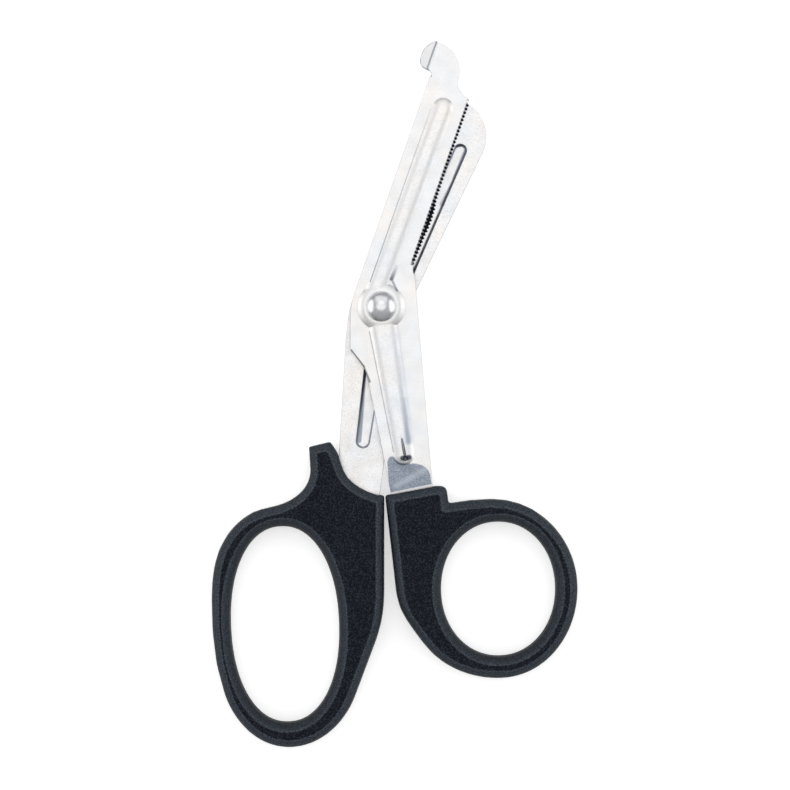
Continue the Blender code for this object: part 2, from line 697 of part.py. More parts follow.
def pivot_rivet():
    """The rivet: a domed head in front, its pin, and the formed tail behind the washer."""
    seat = BOSS_TOP + GAP
    dome_radius = (HEAD_RADIUS ** 2 + HEAD_HEIGHT ** 2) / (2 * HEAD_HEIGHT)
    sweep = math.asin(HEAD_RADIUS / dome_radius)
    turns = [sweep * i / HEAD_STEPS for i in range(HEAD_STEPS + 1)]
    dome = [(dome_radius * math.sin(a), seat + HEAD_HEIGHT - dome_radius * (1 - math.cos(a))) for a in turns]
    tail_seat = -(BOSS_TOP + GAP + WASHER_THICKNESS + GAP)
    tail = [(TAIL_RADIUS, tail_seat), (TAIL_RADIUS, tail_seat - TAIL_HEIGHT / 2),
            (TAIL_RADIUS - TAIL_HEIGHT, tail_seat - TAIL_HEIGHT), (0, tail_seat - TAIL_HEIGHT)]
    return turned("pivot_rivet", dome + [(PIN_RADIUS, seat), (PIN_RADIUS, tail_seat)] + tail)


def rivet_washer():
    top = -(BOSS_TOP + GAP)
    inner = PIN_RADIUS + GAP
    ring = [(inner, top), (WASHER_RADIUS, top), (WASHER_RADIUS, top - WASHER_THICKNESS),
            (inner, top - WASHER_THICKNESS)]
    return turned("rivet_washer", ring)


def material(name, colour, roughness, metallic):
    made = bpy.data.materials.new(name)
    made.use_nodes = True
    shader = made.node_tree.nodes["Principled BSDF"]
    shader.inputs["Base Color"].default_value = (*colour, 1)
    shader.inputs["Roughness"].default_value = roughness
    shader.inputs["Metallic"].default_value = metallic
    return made


def dress(obj, finish_material):
    obj.data.materials.clear()
    obj.data.materials.append(finish_material)
    obj.data.shade_smooth()
    obj.data.set_sharp_from_angle(angle=SMOOTH_ANGLE)


def empty(name, parent=None):
    obj = bpy.data.objects.new(name, None)
    bpy.context.collection.objects.link(obj)
    obj.parent = parent
    return obj


def main():
    for obj in list(bpy.data.objects):
        bpy.data.objects.remove(obj)
    mating_plane = empty("mating_plane")
    mating_plane.location.z = -REST_PLANE
    front_hinge = empty("front_hinge", mating_plane)
    steel = material("satin_steel", (0.80, 0.81, 0.83), 0.32, 1.0)
    polished = material("polished_steel", (0.78, 0.79, 0.80), 0.12, 1.0)
    plastic = material("black_plastic", (0.018, 0.020, 0.026), 0.5, 0.0)
    fixed = [(back_blade(), steel), (finger_handle(), plastic), (pivot_rivet(), polished),
             (rivet_washer(), steel)]
    moving = [(front_blade(), steel), (thumb_handle(), plastic)]
    for pieces, carrier in ((fixed, mating_plane), (moving, front_hinge)):
        for obj, finish_material in pieces:
            dress(obj, finish_material)
            obj.parent = carrier


main()
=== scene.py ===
# Bandage scissors on a white table: finer meshes, finishes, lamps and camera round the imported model
import json
import math

import bmesh
import bpy
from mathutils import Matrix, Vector

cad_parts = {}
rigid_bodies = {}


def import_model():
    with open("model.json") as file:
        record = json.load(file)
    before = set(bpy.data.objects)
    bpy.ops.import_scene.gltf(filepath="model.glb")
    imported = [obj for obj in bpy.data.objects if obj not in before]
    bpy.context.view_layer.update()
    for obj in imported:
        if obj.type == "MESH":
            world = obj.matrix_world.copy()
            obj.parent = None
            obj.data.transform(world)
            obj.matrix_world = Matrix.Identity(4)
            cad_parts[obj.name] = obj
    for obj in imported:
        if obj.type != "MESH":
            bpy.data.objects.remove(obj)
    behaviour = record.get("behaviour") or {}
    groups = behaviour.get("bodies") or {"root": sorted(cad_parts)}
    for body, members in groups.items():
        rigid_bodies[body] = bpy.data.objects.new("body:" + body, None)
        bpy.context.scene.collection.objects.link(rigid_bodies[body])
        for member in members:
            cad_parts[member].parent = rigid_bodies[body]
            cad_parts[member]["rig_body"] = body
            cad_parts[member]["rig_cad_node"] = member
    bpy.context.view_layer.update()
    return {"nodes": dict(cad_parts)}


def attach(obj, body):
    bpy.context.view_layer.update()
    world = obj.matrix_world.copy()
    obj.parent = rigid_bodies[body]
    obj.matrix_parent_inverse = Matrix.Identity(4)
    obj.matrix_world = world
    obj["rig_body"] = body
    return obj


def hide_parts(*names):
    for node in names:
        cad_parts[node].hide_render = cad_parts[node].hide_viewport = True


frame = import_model()
nodes = frame["nodes"]
mm = 0.001
matingHeight = 4.5 * mm  # the plane where the two blades meet
jawAngles = {"front": math.radians(70.8), "back": math.radians(64.3)}
print("frame loaded:", len(nodes), "nodes")

# Mesh helpers
cleaning = {"mergeWithin": 0.001 * mm, "flatWithin": math.radians(0.4), "normalWeight": 60}


def pickOnly(obj):
    bpy.ops.object.select_all(action="DESELECT")
    obj.select_set(True)
    bpy.context.view_layer.objects.active = obj


def editAll(obj):
    pickOnly(obj)
    bpy.ops.object.mode_set(mode="EDIT")
    bpy.ops.mesh.select_all(action="SELECT")


def endEdit():
    bpy.ops.object.mode_set(mode="OBJECT")


def pickFaces(obj, wanted):
    bpy.ops.mesh.select_mode(type="FACE")
    bpy.ops.mesh.select_all(action="DESELECT")
    mesh = bmesh.from_edit_mesh(obj.data)
    for face in mesh.faces:
        face.select_set(wanted(face))
    bmesh.update_edit_mesh(obj.data)


def applyModifier(obj, kind, **values):
    pickOnly(obj)
    modifier = obj.modifiers.new(kind.title(), kind)
    for key, value in values.items():
        setattr(modifier, key, value)
    bpy.ops.object.modifier_apply(modifier=modifier.name)


def mergedCopy(nodeName, pieceName):
    # A node's own mesh stays as it is, so the work is done on a merged copy
    piece = nodes[nodeName].copy()
    piece.data = piece.data.copy()
    piece.name = piece.data.name = pieceName
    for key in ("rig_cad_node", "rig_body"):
        if key in piece:
            del piece[key]
    piece.parent = None
    bpy.context.collection.objects.link(piece)
    editAll(piece)
    bpy.ops.mesh.remove_doubles(threshold=cleaning["mergeWithin"])
    bpy.ops.mesh.customdata_custom_splitnormals_clear()
    bpy.ops.mesh.dissolve_limited(angle_limit=cleaning["flatWithin"])
    endEdit()
    return piece


def smoothShade(piece, angle):
    pickOnly(piece)
    bpy.ops.object.shade_smooth_by_angle(angle=math.radians(angle))
    applyModifier(piece, "WEIGHTED_NORMAL", keep_sharp=True, weight=cleaning["normalWeight"])


def fitPiece(piece, nodeName, body, material):
    piece.data.materials.clear()
    piece.data.materials.append(material)
    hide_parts(nodeName)
    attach(piece, body)
    print(piece.name, len(piece.data.polygons), "faces")


# Shader helpers
def newMaterial(name):
    made = bpy.data.materials.new(name)
    made.use_nodes = True
    return made, made.node_tree, made.node_tree.nodes["Principled BSDF"]


def plug(tree, term, socket):
    # A term is another node's socket, or a plain value
    if isinstance(term, bpy.types.NodeSocket):
        tree.links.new(term, socket)
    else:
        socket.default_value = term


def calc(tree, operation, *terms, clamp=False):
    node = tree.nodes.new("ShaderNodeMath")
    node.operation = operation
    node.use_clamp = clamp
    for term, socket in zip(terms, node.inputs):
        plug(tree, term, socket)
    return node.outputs[0]


def product(tree, first, *others):
    for other in others:
        first = calc(tree, "MULTIPLY", first, other)
    return first


def fade(tree, value, start, end, low=0.0, high=1.0):
    # Goes smoothly from low to high as the value passes from start to end
    node = tree.nodes.new("ShaderNodeMapRange")
    node.interpolation_type = "SMOOTHSTEP"
    for term, label in ((value, "Value"), (start, "From Min"), (end, "From Max"),
                        (low, "To Min"), (high, "To Max")):
        plug(tree, term, node.inputs[label])
    return node.outputs["Result"]


def mixColour(tree, factor, first, second):
    node = tree.nodes.new("ShaderNodeMix")
    node.data_type = "RGBA"
    for term, label in ((factor, "Factor"), (first, "A"), (second, "B")):
        plug(tree, term, node.inputs[label])
    return node.outputs["Result"]


def splitPlace(tree, label="Object"):
    place = tree.nodes.new("ShaderNodeTexCoord")
    split = tree.nodes.new("ShaderNodeSeparateXYZ")
    tree.links.new(place.outputs[label], split.inputs[0])
    return split.outputs


def uprightness(tree):
    # 1 on a level face, 0 on a wall
    return calc(tree, "ABSOLUTE", splitPlace(tree, "Normal")["Z"])


def between(tree, share, limits):
    low, high = limits
    return calc(tree, "MULTIPLY_ADD", share, high - low, low)


def curveOf(tree, value, points):
    # A drawn curve through (value, result) points, both between 0 and 1
    node = tree.nodes.new("ShaderNodeFloatCurve")
    line = node.mapping.curves[0]
    for spot, (x, y) in zip(line.points, (points[0], points[-1])):
        spot.location = (x, y)
    for x, y in points[1:-1]:
        line.points.new(x, y)
    node.mapping.update()
    plug(tree, value, node.inputs["Value"])
    return node.outputs["Value"]


def bumpFrom(tree, height, relief, before=None):
    node = tree.nodes.new("ShaderNodeBump")
    node.inputs["Strength"].default_value, node.inputs["Distance"].default_value = relief
    plug(tree, height, node.inputs["Height"])
    if before is not None:
        plug(tree, before, node.inputs["Normal"])
    return node.outputs["Normal"]


def newGroup(name, inputs, outputs):
    tree = bpy.data.node_groups.new(name, "ShaderNodeTree")
    for label, kind, value in inputs:
        socket = tree.interface.new_socket(name=label, in_out="INPUT", socket_type=kind)
        socket.default_value = value
    for label in outputs:
        tree.interface.new_socket(name=label, in_out="OUTPUT", socket_type="NodeSocketFloat")
    into = tree.nodes.new("NodeGroupInput").outputs
    return tree, into, tree.nodes.new("NodeGroupOutput").inputs


def useGroup(tree, group, **values):
    node = tree.nodes.new("ShaderNodeGroup")
    node.node_tree = group
    for key, value in values.items():
        node.inputs[key].default_value = value
    return node.outputs


# Pattern groups that more than one finish uses
mottlePattern = {"detail": 4.0, "middle": 0.5, "ratios": {"tint": 1.0, "gloss": 2.7}}


def makeMottle():
    # Broad cloudy patches, for a tint and for how glossy the surface is
    look = mottlePattern
    tree, into, out = newGroup(
        "mottle",
        [("scale", "NodeSocketFloat", 110.0), ("amount", "NodeSocketFloat", 1.0)],
        list(look["ratios"]))
    place = tree.nodes.new("ShaderNodeTexCoord")
    for label, ratio in look["ratios"].items():
        noise = tree.nodes.new("ShaderNodeTexNoise")
        noise.inputs["Detail"].default_value = look["detail"]
        tree.links.new(place.outputs["Object"], noise.inputs["Vector"])
        plug(tree, calc(tree, "MULTIPLY", into["scale"], ratio), noise.inputs["Scale"])
        centred = calc(tree, "SUBTRACT", noise.outputs["Fac"], look["middle"])
        spread = calc(tree, "MULTIPLY_ADD", centred, into["amount"], look["middle"], clamp=True)
        plug(tree, spread, out[label])
    return tree


def makeGrain():
    # Fine noise, turned by an angle about Z and stretched along that way
    tree, into, out = newGroup(
        "grain",
        [("scale", "NodeSocketFloat", 2500.0), ("detail", "NodeSocketFloat", 2.0),
         ("turn", "NodeSocketVector", (0.0, 0.0, 0.0)),
         ("stretch", "NodeSocketVector", (1.0, 1.0, 1.0))],
        ["height"])
    place = tree.nodes.new("ShaderNodeTexCoord")
    turned = tree.nodes.new("ShaderNodeMapping")
    turned.vector_type = "TEXTURE"
    drawn = tree.nodes.new("ShaderNodeMapping")
    noise = tree.nodes.new("ShaderNodeTexNoise")
    tree.links.new(place.outputs["Object"], turned.inputs["Vector"])
    plug(tree, into["turn"], turned.inputs["Rotation"])
    tree.links.new(turned.outputs[0], drawn.inputs["Vector"])
    plug(tree, into["stretch"], drawn.inputs["Scale"])
    tree.links.new(drawn.outputs[0], noise.inputs["Vector"])
    plug(tree, into["scale"], noise.inputs["Scale"])
    plug(tree, into["detail"], noise.inputs["Detail"])
    tree.links.new(noise.outputs["Fac"], out["height"])
    return tree


def makeStroke():
    # A soft line between two points, seen from above; with a rise of 1 it grows from nothing
    tree, into, out = newGroup(
        "stroke",
        [("start", "NodeSocketVector", (0.0, 0.0, 0.0)), ("end", "NodeSocketVector", (mm, 0.0, 0.0)),
         ("width", "NodeSocketFloat", mm), ("soft", "NodeSocketFloat", mm),
         ("rise", "NodeSocketFloat", 0.0)],
        ["mask"])

    def vector(operation, *terms):
        node = tree.nodes.new("ShaderNodeVectorMath")
        node.operation = operation
        for term, socket in zip(terms, node.inputs):
            plug(tree, term, socket)
        return node.outputs["Value" if operation in ("DOT_PRODUCT", "LENGTH") else "Vector"]

    place = tree.nodes.new("ShaderNodeTexCoord")
    flat = vector("MULTIPLY", place.outputs["Object"], (1.0, 1.0, 0.0))
    here = vector("SUBTRACT", flat, into["start"])
    run = vector("SUBTRACT", into["end"], into["start"])
    share = calc(tree, "DIVIDE", vector("DOT_PRODUCT", here, run), vector("DOT_PRODUCT", run, run),
                 clamp=True)
    scale = tree.nodes.new("ShaderNodeVectorMath")
    scale.operation = "SCALE"
    plug(tree, run, scale.inputs[0])
    plug(tree, share, scale.inputs["Scale"])
    gap = vector("LENGTH", vector("SUBTRACT", here, scale.outputs["Vector"]))
    past = calc(tree, "SUBTRACT", gap, into["width"])
    line = fade(tree, past, 0.0, into["soft"], 1.0, 0.0)
    left = calc(tree, "SUBTRACT", 1.0, share)
    grown = calc(tree, "SUBTRACT", 1.0, calc(tree, "MULTIPLY", into["rise"], left))
    plug(tree, calc(tree, "MULTIPLY", line, grown), out["mask"])
    return tree


mottle = makeMottle()
grain = makeGrain()
stroke = makeStroke()
print("pattern groups made")

# In the finishes, a fade is (start, end) or (start, end, low, high), and a relief (strength, depth).
# A stroke is (start, end, half width, softness, strength, rise), its lengths in mm.
strokesUpward = (0.0, 0.1)  # strokes show on faces that look up

# Blade steel: satin strip with its steep walls painted darker as shade, and the marks, painted shade
# and painted shadow that each blade carries
bladeSteel = {
    "clouds": {"scale": 110.0, "amount": 2.0},
    "warm": (0.94, 0.895, 0.85, 1.0),
    "cool": (0.855, 0.885, 0.92, 1.0),
    "fleck": (0.60, 0.61, 0.64, 1.0),
    "fleckFade": (0.45, 0.75, 0.0, 0.75),
    "roughness": (0.36, 0.50),
    "rolling": {"scale": 1400.0, "detail": 3.0, "stretch": (0.10, 1.0, 1.0)},
    "rollingRelief": (0.20, 0.03 * mm),
    "peel": {"scale": 5200.0, "detail": 1.0},
    "peelRelief": (0.25, 0.02 * mm),
    "wallShade": (0.12, 0.13, 0.155, 1.0),  # painted shade on the walls of ribs and edges
    "wallShadeFade": (0.84, 0.60, 0.0, 0.45),
    "footFade": (58.5 * mm, 59.0 * mm, 0.0, 0.5),  # the bent foot isn't given the painted wall shade
}
pressMark = {  # the grey patch where the front shank is stepped down
    "dark": (0.19, 0.225, 0.29, 1.0),
    "light": (0.46, 0.505, 0.58, 1.0),
    "roughness": 0.5,
    "leftFade": (-1.75 * mm, -1.55 * mm),
    "leftLean": 0.079,
    "bottomFade": (-49.2 * mm, -49.0 * mm),
    "bottomLean": -0.2035,
    "width": 15.0 * mm,
    "top": -39.0 * mm,
    "depth": 8.0 * mm,
    "edge": [(0.0, 0.45), (0.10, 0.21), (0.173, 0.01), (0.28, 0.16), (0.38, 0.237), (0.593, 0.24),
             (0.747, 0.34), (0.853, 0.60), (0.887, 0.92), (1.0, 1.0)],
    "ragged": 0.9 * mm,
    "raggedFade": (0.35 * mm, 0.75 * mm),
    "speckle": {"scale": 3000.0, "detail": 3.0},
    "speckleContrast": (2.4, -0.7),
}
# Painted reflection, painted shade and a lighter diagonal, drawn as strokes on the front blade
frontStreaksAndShade = [  # (colour, strokes) on the front blade
    ((0.27, 0.33, 0.42, 1.0), [  # painted reflection: the blue-grey streak down the shank
        ((3.8, -5.5), (6.0, -24.0), 0.0, 1.5, 0.36, 0.5),
        ((6.0, -24.0), (7.2, -35.2), 0.0, 1.5, 0.80, 0.4),
    ]),
    ((0.62, 0.67, 0.74, 1.0), [  # a lighter diagonal on the patch
        ((3.9, -46.9), (11.2, -42.8), 0.0, 1.3, 0.45, 0.0),
    ]),
    ((0.11, 0.12, 0.145, 1.0), [  # painted shade in the creases and along steep edges
        ((12.9, 51.6), (-2.9, 6.5), 0.0, 0.25, 0.78, 0.7),  # feet of the two ribs
        ((-3.1, -6.5), (3.2, -38.0), 0.0, 0.25, 0.60, 0.0),
        ((5.1, -33.0), (6.3, -39.3), 0.10, 0.60, 0.85, 1.0),  # end of the shank's rib
        ((5.6, -39.6), (7.3, -39.4), 0.40, 0.55, 1.0, 0.0),
        ((4.0, 10.4), (2.7, 7.2), 0.20, 0.55, 0.90, 0.8),  # beside the boss
        ((2.7, 7.2), (4.1, 4.2), 0.05, 0.45, 0.65, 0.0),
        ((14.45, 69.3), (11.95, 62.2), 0.10, 0.25, 0.65, 0.0),  # fold and outline of the foot
        ((12.1, 62.2), (13.1, 60.3), 0.05, 0.30, 0.75, 0.0),
        ((14.1, 69.6), (11.5, 68.3), 0.0, 0.24, 0.40, 0.3),
        ((11.5, 68.3), (10.2, 66.0), 0.0, 0.24, 0.50, 0.2),
        ((10.2, 66.0), (10.4, 63.3), 0.0, 0.24, 0.60, 0.2),
        ((10.4, 63.3), (11.75, 62.2), 0.0, 0.24, 0.70, 0.1),
        ((-7.95, -11.5), (-4.6, -15.75), 0.25, 0.25, 0.85, 0.0),  # the waist
        ((-4.6, -15.75), (-3.05, -19.6), 0.20, 0.25, 0.75, 0.0),
    ]),
]
teethShadow = {  # painted shadow of the closed front blade's teeth on the back blade, scalloped to the teeth and seen through their gullets
    "colour": (0.012, 0.013, 0.018, 1.0),
    "roughness": 0.6,
    "edge": 4.05 * mm,  # where the teeth of the closed front blade end
    "soft": 0.05 * mm,
    "acrossFade": (3.20 * mm, 3.40 * mm),
    "startFade": (11.6 * mm, 12.2 * mm),
    "endFade": (59.0 * mm, 58.9 * mm),
    "heightFade": (3.2 * mm, 3.3 * mm),
    "pitch": 1.018 * mm,
    "scallop": 0.22 * mm,
    "swing": 1.5,
    "reach": 60.0 * mm,
    "widths": [(0.0, 0.02), (0.20, 0.10), (0.233, 0.22), (0.29, 0.38), (0.36, 0.55), (0.415, 0.85),
               (0.46, 0.80), (0.52, 0.34), (0.58, 0.20), (0.68, 0.13), (1.0, 0.13)],
}
grooveShade = {  # painted shade in the pressed grooves on the mating side
    "soft": (0.24, 0.28, 0.345, 1.0),
    "dark": (0.10, 0.115, 0.145, 1.0),
    "depthFade": (4.31 * mm, 4.26 * mm),
    "lineFade": (4.06 * mm, 4.16 * mm, 0.0, 0.60),  # just below the rim
    "wallFade": (3.52 * mm, 3.67 * mm),
    "slopeFade": (0.0, 0.3, 0.0, 0.55),
    "upwardFade": (0.05, 0.1),
    "jawFade": (25.0 * mm, 40.0 * mm),
    "shankFade": (0.0, -1.0 * mm),
    "strokes": [
        ((22.4, 40.9), (19.4, 33.5), 0.50, 0.50, 0.85, 0.0),
        ((19.4, 33.5), (15.9, 27.0), 0.35, 0.50, 0.55, 0.0),
        ((-4.5, -16.3), (-5.9, -35.0), 0.50, 0.40, 0.85, 0.0),
    ],
    "cap": [  # painted shade at the end of the jaw's groove
        ((19.7, 42.2), (21.4, 42.5), 0.15, 0.45, 0.95, 0.0),
        ((21.4, 42.5), (22.7, 41.6), 0.15, 0.40, 0.85, 0.0),
    ],
}


def makeBladeSteel(name, jaw):
    look = bladeSteel
    made, tree, shader = newMaterial(name)
    clouds = useGroup(tree, mottle, **look["clouds"])
    colour = mixColour(tree, clouds["tint"], look["warm"], look["cool"])
    peel = useGroup(tree, grain, **look["peel"])["height"]
    colour = mixColour(tree, fade(tree, peel, *look["fleckFade"]), colour, look["fleck"])
    foot = fade(tree, splitPlace(tree)["Y"], *look["footFade"])
    # Steep walls are painted darker, as shade
    wallShade = fade(tree, calc(tree, "ADD", uprightness(tree), foot), *look["wallShadeFade"])
    colour = mixColour(tree, wallShade, colour, look["wallShade"])
    rough = between(tree, clouds["gloss"], look["roughness"])
    rolling = useGroup(tree, grain, turn=(0.0, 0.0, jawAngles[jaw]), **look["rolling"])["height"]
    normal = bumpFrom(tree, rolling, look["rollingRelief"])
    normal = bumpFrom(tree, peel, look["peelRelief"], normal)
    shader.inputs["Metallic"].default_value = 1.0
    tree.links.new(normal, shader.inputs["Normal"])
    return made, tree, shader, colour, rough


def strokeMask(tree, strokes):
    # The strongest of the strokes
    most = 0.0
    for (x, y), (endX, endY), width, soft, strength, rise in strokes:
        mask = useGroup(tree, stroke, start=(x * mm, y * mm, 0.0), end=(endX * mm, endY * mm, 0.0),
                        width=width * mm, soft=soft * mm, rise=rise)["mask"]
        most = calc(tree, "MAXIMUM", calc(tree, "MULTIPLY", mask, strength), most)
    return product(tree, most, fade(tree, splitPlace(tree, "Normal")["Z"], *strokesUpward))


def finishSteel(tree, shader, colour, rough, mark, look):
    # The mark has a roughness of its own
    tree.links.new(colour, shader.inputs["Base Color"])
    marked = fade(tree, mark, 0.0, 1.0, rough, look["roughness"])
    tree.links.new(marked, shader.inputs["Roughness"])


def makeFrontSteel():
    made, tree, shader, colour, rough = makeBladeSteel("front blade steel", "front")
    look = pressMark
    place = splitPlace(tree)
    x, y = place["X"], place["Y"]
    speckle = useGroup(tree, grain, **look["speckle"])["height"]
    drop = curveOf(tree, calc(tree, "DIVIDE", x, look["width"]), look["edge"])
    border = calc(tree, "MULTIPLY_ADD", drop, -look["depth"], look["top"])
    below = calc(tree, "SUBTRACT", border, y)
    ragged = calc(tree, "MULTIPLY_ADD", speckle, look["ragged"], below)
    fromLeft = calc(tree, "MULTIPLY_ADD", y, look["leftLean"], x)
    fromBottom = calc(tree, "MULTIPLY_ADD", x, look["bottomLean"], y)
    mark = product(tree, fade(tree, ragged, *look["raggedFade"]),
                   fade(tree, fromLeft, *look["leftFade"]),
                   fade(tree, fromBottom, *look["bottomFade"]))
    lightness = calc(tree, "MULTIPLY_ADD", speckle, *look["speckleContrast"], clamp=True)
    grey = mixColour(tree, lightness, look["dark"], look["light"])
    colour = mixColour(tree, mark, colour, grey)
    # The painted reflection, painted shade and lighter diagonal strokes are laid over the steel
    for strokeColour, strokes in frontStreaksAndShade:
        colour = mixColour(tree, strokeMask(tree, strokes), colour, strokeColour)
    finishSteel(tree, shader, colour, rough, mark, look)
    return made


def makeBackSteel():
    made, tree, shader, colour, rough = makeBladeSteel("back blade steel", "back")
    look, grooveShading = teethShadow, grooveShade
    x, y, z = splitPlace(tree)
    facing = splitPlace(tree, "Normal")

    # Painted shade on the groove walls, just below their rim, along strokes, and darkest at the jaw
    # groove's end
    depth = fade(tree, z, *grooveShading["depthFade"])
    reached = calc(tree, "MAXIMUM", fade(tree, y, *grooveShading["jawFade"]), fade(tree, y, *grooveShading["shankFade"]))
    wall = product(tree, fade(tree, calc(tree, "ABSOLUTE", facing["X"]), *grooveShading["slopeFade"]),
                   reached, fade(tree, z, *grooveShading["wallFade"]))
    line = fade(tree, z, *grooveShading["lineFade"])
    inside = product(tree, calc(tree, "MAXIMUM", wall, line), depth,
                     fade(tree, facing["Z"], *grooveShading["upwardFade"]))
    strokeShaded = product(tree, depth, strokeMask(tree, grooveShading["strokes"]))
    colour = mixColour(tree, calc(tree, "MAXIMUM", inside, strokeShaded), colour, grooveShading["soft"])
    capped = product(tree, depth, strokeMask(tree, grooveShading["cap"]))
    colour = mixColour(tree, capped, colour, grooveShading["dark"])

    # The painted shadow band under the closed teeth, following their scallops
    cosine, sine = math.cos(jawAngles["front"]), math.sin(jawAngles["front"])
    along = calc(tree, "MULTIPLY_ADD", x, cosine, calc(tree, "MULTIPLY", y, sine))
    across = calc(tree, "MULTIPLY_ADD", y, -cosine, calc(tree, "MULTIPLY", x, sine))
    drawn = curveOf(tree, calc(tree, "DIVIDE", along, look["reach"]), look["widths"])
    width = calc(tree, "MULTIPLY", drawn, mm)
    teeth = calc(tree, "SINE", calc(tree, "MULTIPLY", along, 2 * math.pi / look["pitch"]))
    swing = calc(tree, "MINIMUM", calc(tree, "MULTIPLY", width, look["swing"]), look["scallop"])
    border = calc(tree, "ADD", calc(tree, "MULTIPLY_ADD", teeth, swing, width), look["edge"])
    past = calc(tree, "SUBTRACT", across, border)
    mark = product(tree, fade(tree, past, -look["soft"], look["soft"], 1.0, 0.0),
                   fade(tree, across, *look["acrossFade"]), fade(tree, along, *look["startFade"]),
                   fade(tree, along, *look["endFade"]), fade(tree, z, *look["heightFade"]))
    colour = mixColour(tree, mark, colour, look["colour"])
    finishSteel(tree, shader, colour, rough, mark, look)
    return made


# Rivet steel: polished, with faint clouds
rivetSteel = {
    "clouds": {"scale": 420.0, "amount": 1.6},
    "colour": (0.83, 0.835, 0.85, 1.0),
    "dull": (0.62, 0.63, 0.66, 1.0),
    "roughness": (0.19, 0.30),
    "peel": {"scale": 2200.0, "detail": 1.0},
    "peelRelief": (0.15, 0.01 * mm),
}


def makeRivetSteel():
    look = rivetSteel
    made, tree, shader = newMaterial("polished rivet")
    clouds = useGroup(tree, mottle, **look["clouds"])
    colour = mixColour(tree, clouds["tint"], look["dull"], look["colour"])
    tree.links.new(colour, shader.inputs["Base Color"])
    tree.links.new(between(tree, clouds["gloss"], look["roughness"]), shader.inputs["Roughness"])
    peel = useGroup(tree, grain, **look["peel"])["height"]
    tree.links.new(bumpFrom(tree, peel, look["peelRelief"]), shader.inputs["Normal"])
    shader.inputs["Metallic"].default_value = 1.0
    return made


# Handle plastic: black, fine spark-eroded grain, with painted highlights on the sloping faces and
# rims, broken up by the grain
plastic = {
    "pit": (0.0012, 0.0018, 0.0040, 1.0),
    "peak": (0.0215, 0.0270, 0.0400, 1.0),
    "peakFade": (0.45, 0.66),
    # painted highlights: the sloping faces and the strips at the rims lighter
    "slope": (0.052, 0.063, 0.078, 1.0),
    "slopeFades": ((0.99, 0.86), (0.25, 0.85)),  # of how upright the face's normal is
    "slopeGrain": (0.36, 0.64, 0.45, 1.0),
    "rim": (0.165, 0.190, 0.220, 1.0),
    "rimFades": ((0.999, 0.975), (0.86, 0.945)),
    "rimGrain": (0.34, 0.66, 0.10, 0.36),
    "clouds": {"scale": 160.0, "amount": 1.0},
    "roughness": (0.34, 0.46),
    "specular": 0.12,
    "specularTint": (0.80, 0.90, 1.0, 1.0),
    "grain": {"scale": 2700.0, "detail": 2.0},
    "grainRelief": (0.55, 0.20 * mm),
}


def makePlastic():
    look = plastic
    made, tree, shader = newMaterial("black moulding")
    upright = uprightness(tree)
    pits = useGroup(tree, grain, **look["grain"])["height"]
    colour = mixColour(tree, fade(tree, pits, *look["peakFade"]), look["pit"], look["peak"])
    # Painted highlights on sloping faces and rims, broken up by the grain
    for highlit in ("slope", "rim"):
        first, second = look[highlit + "Fades"]
        mask = product(tree, fade(tree, upright, *first), fade(tree, upright, *second),
                       fade(tree, pits, *look[highlit + "Grain"]))
        colour = mixColour(tree, mask, colour, look[highlit])
    clouds = useGroup(tree, mottle, **look["clouds"])
    tree.links.new(colour, shader.inputs["Base Color"])
    tree.links.new(between(tree, clouds["gloss"], look["roughness"]), shader.inputs["Roughness"])
    tree.links.new(bumpFrom(tree, pits, look["grainRelief"]), shader.inputs["Normal"])
    shader.inputs["Specular IOR Level"].default_value = look["specular"]
    shader.inputs["Specular Tint"].default_value = look["specularTint"]
    return made


frontSteel, backSteel = makeFrontSteel(), makeBackSteel()
rivetFinish, plasticFinish = makeRivetSteel(), makePlastic()
print("finishes made")

# Blades: edges broken a little, and small press marks cut in
blades = {
    "edgeBreak": 0.18 * mm,
    "edgeSegments": 2,
    "edgeAngle": 40,
    "shadeAngle": 32,
    "markFaces": (28, 14),
    "marks": [  # (start, end, width, depth, height of the surface) on the front blade
        ((5.35 * mm, -34.4 * mm), (6.35 * mm, -39.9 * mm), 0.55 * mm, 0.35 * mm, 6.95 * mm),
        ((5.75 * mm, -39.9 * mm), (6.95 * mm, -39.6 * mm), 1.3 * mm, 0.55 * mm, 6.75 * mm),
    ],
}


def pressMarkIn(piece, start, end, width, depth, height):
    # A long ellipsoid, cut out of the surface
    run = Vector(end) - Vector(start)
    middle = (Vector(start) + Vector(end)) / 2
    segments, rings = blades["markFaces"]
    pickOnly(piece)
    bpy.ops.mesh.primitive_uv_sphere_add(segments=segments, ring_count=rings, radius=1.0,
                                         location=(middle.x, middle.y, height))
    tool = bpy.context.object
    tool.scale = (run.length / 2, width / 2, depth)
    tool.rotation_euler = (0.0, 0.0, math.atan2(run.y, run.x))
    bpy.ops.object.transform_apply(location=True, rotation=True, scale=True)
    applyModifier(piece, "BOOLEAN", operation="DIFFERENCE", solver="EXACT", object=tool)
    bpy.data.objects.remove(tool)


def makeBlade(nodeName, pieceName, body, finish, marks):
    piece = mergedCopy(nodeName, pieceName)
    for mark in marks:
        pressMarkIn(piece, *mark)
    applyModifier(piece, "BEVEL", width=blades["edgeBreak"], segments=blades["edgeSegments"],
                  limit_method="ANGLE", angle_limit=math.radians(blades["edgeAngle"]),
                  use_clamp_overlap=False)
    smoothShade(piece, blades["shadeAngle"])
    fitPiece(piece, nodeName, body, finish)


makeBlade("front_blade", "front_blade_steel", "front_half", frontSteel, blades["marks"])
makeBlade("back_blade", "back_blade_steel", "back_half", backSteel, [])

# Handles: remade in fine even faces with soft moulded corners, and a moulding line round the middle
handles = {
    "faceSize": 0.32 * mm,
    "smoothFactor": 0.5,
    "softening": 8,
    "ringsBelow": -54.0 * mm,
    "ringSmoothing": 110,
    "shadeAngle": 40,
    "lineHalfHeight": 0.13 * mm,
    "lineProud": 0.05 * mm,
    "wallWithin": 0.1,  # a face is on the wall where its normal is this level
    "cutWithin": 0.0001 * mm,
}


